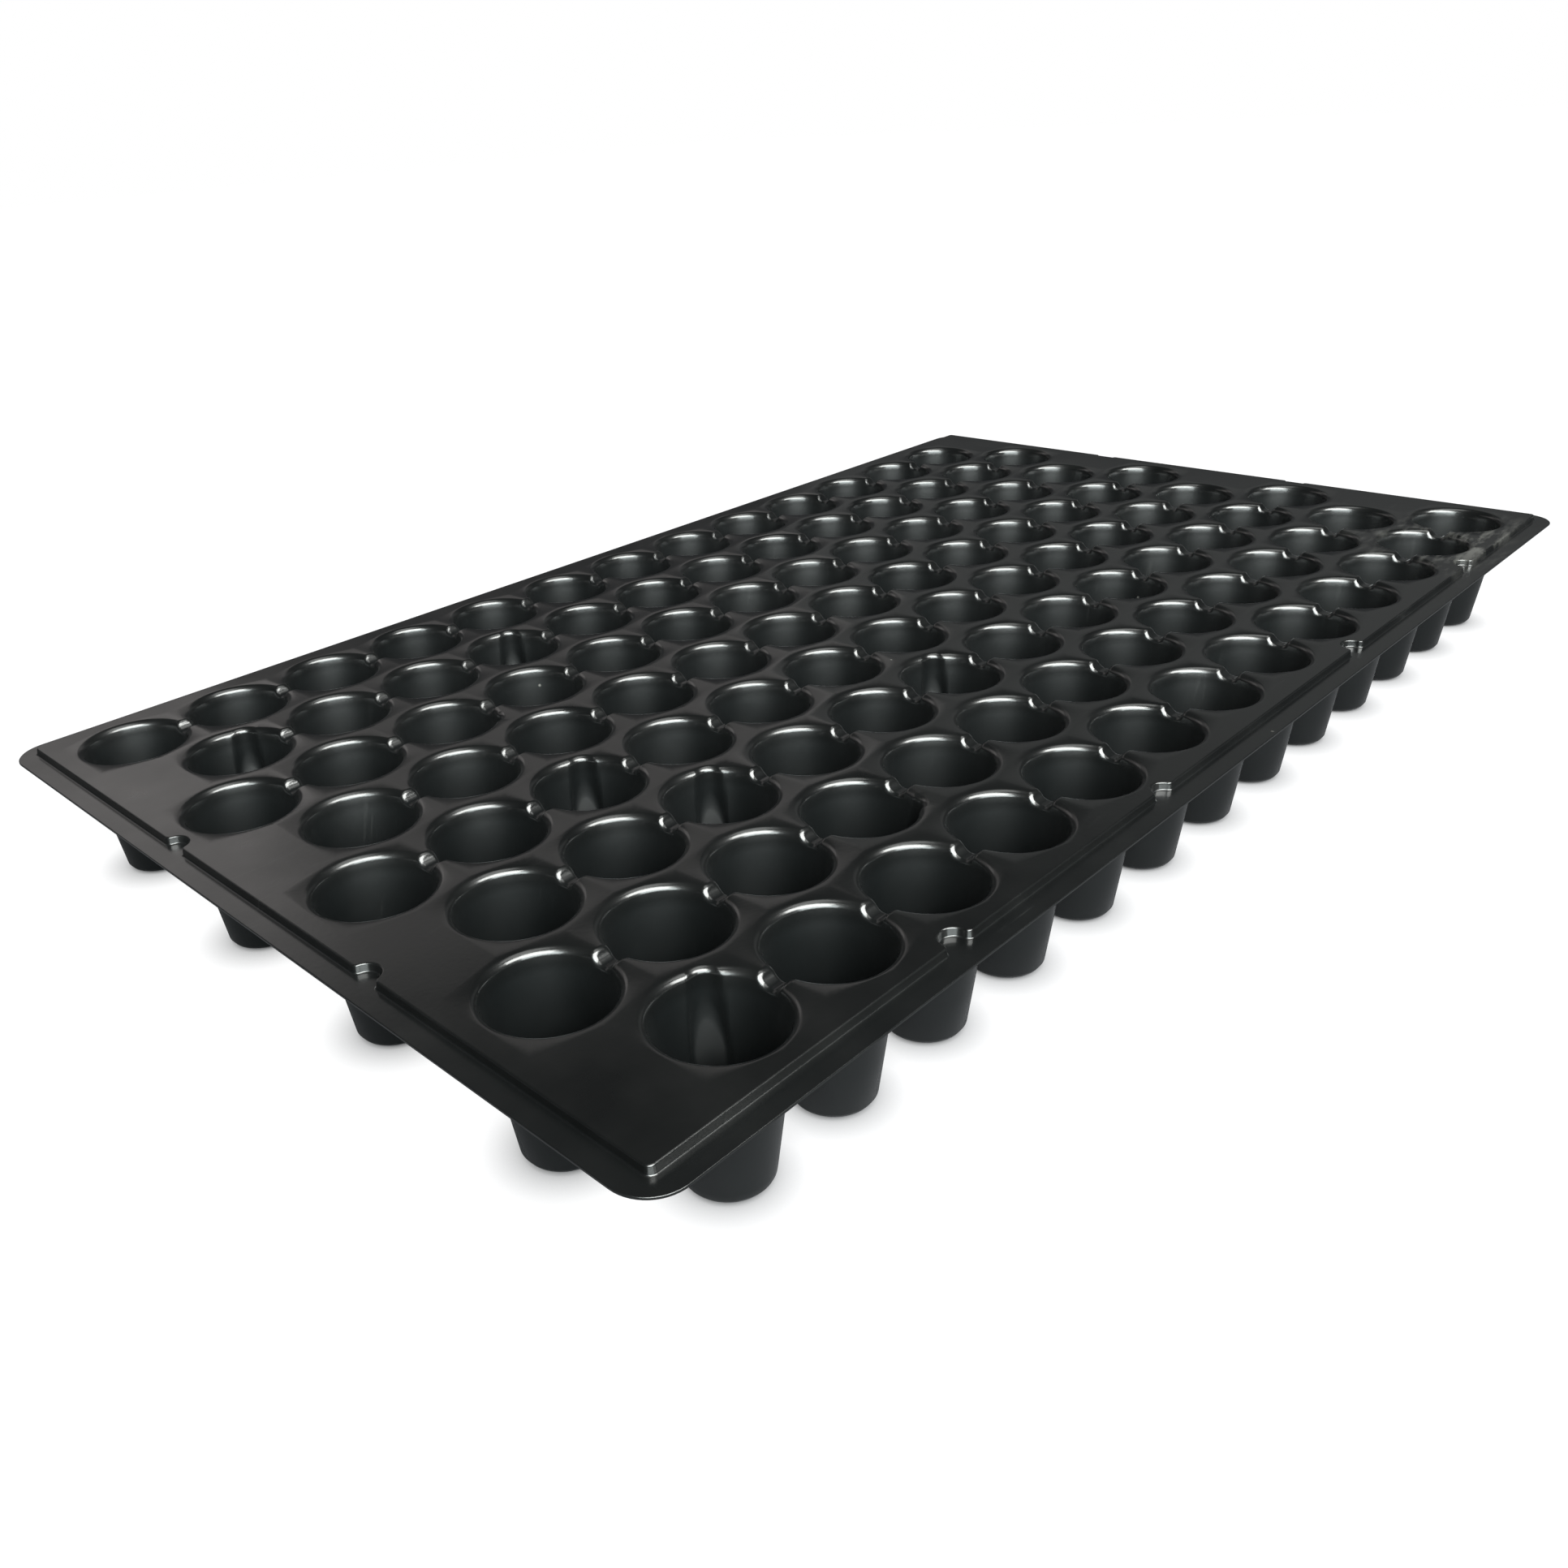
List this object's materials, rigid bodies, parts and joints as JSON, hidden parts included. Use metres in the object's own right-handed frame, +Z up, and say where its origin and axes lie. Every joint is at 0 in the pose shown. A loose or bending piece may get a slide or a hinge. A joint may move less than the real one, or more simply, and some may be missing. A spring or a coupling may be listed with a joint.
{
  "type": "plug tray",
  "caption": "Flat rectangular tray of thin black plastic with staggered rows of round tapered cells for raising seedlings, and a stepped rim.",
  "frame": {"origin": "middle of the tray's outline, on the plane that the cups stand on", "axes": "+X along the rows of cells, the tray's long side; +Y across the rows; +Z up, out of the cells' mouths"},
  "size_m": [0.533, 0.311, 0.0445],
  "materials": {
    "cell_plastic": "satin",
    "rim_plastic": "satin"
  },
  "bodies": {
    "root": {"cells_a01_a02": "cell_plastic", "cells_a03_a04": "cell_plastic", "cells_a05_a06": "cell_plastic", "cells_a07_a08": "cell_plastic", "cells_a09_a10": "cell_plastic", "cells_a11_a12": "cell_plastic", "cells_a13": "cell_plastic", "cells_b01_b02": "cell_plastic", "cells_b03_b04": "cell_plastic", "cells_b05_b06": "cell_plastic", "cells_b07_b08": "cell_plastic", "cells_b09_b10": "cell_plastic", "cells_b11_b12": "cell_plastic", "cells_b13": "cell_plastic", "cells_c01_c02": "cell_plastic", "cells_c03_c04": "cell_plastic", "cells_c05_c06": "cell_plastic", "cells_c07_c08": "cell_plastic", "cells_c09_c10": "cell_plastic", "cells_c11_c12": "cell_plastic", "cells_c13": "cell_plastic", "cells_d01_d02": "cell_plastic", "cells_d03_d04": "cell_plastic", "cells_d05_d06": "cell_plastic", "cells_d07_d08": "cell_plastic", "cells_d09_d10": "cell_plastic", "cells_d11_d12": "cell_plastic", "cells_d13": "cell_plastic", "cells_e01_e02": "cell_plastic", "cells_e03_e04": "cell_plastic", "cells_e05_e06": "cell_plastic", "cells_e07_e08": "cell_plastic", "cells_e09_e10": "cell_plastic", "cells_e11_e12": "cell_plastic", "cells_e13": "cell_plastic", "cells_f01_f02": "cell_plastic", "cells_f03_f04": "cell_plastic", "cells_f05_f06": "cell_plastic", "cells_f07_f08": "cell_plastic", "cells_f09_f10": "cell_plastic", "cells_f11_f12": "cell_plastic", "cells_f13": "cell_plastic", "cells_g01_g02": "cell_plastic", "cells_g03_g04": "cell_plastic", "cells_g05_g06": "cell_plastic", "cells_g07_g08": "cell_plastic", "cells_g09_g10": "cell_plastic", "cells_g11_g12": "cell_plastic", "cells_g13": "cell_plastic", "cells_h01_h02": "cell_plastic", "cells_h03_h04": "cell_plastic", "cells_h05_h06": "cell_plastic", "cells_h07_h08": "cell_plastic", "cells_h09_h10": "cell_plastic", "cells_h11_h12": "cell_plastic", "cells_h13": "cell_plastic", "rim_near": "rim_plastic", "rim_far": "rim_plastic", "rim_left": "rim_plastic", "rim_right": "rim_plastic"}
  },
  "joints": []
}
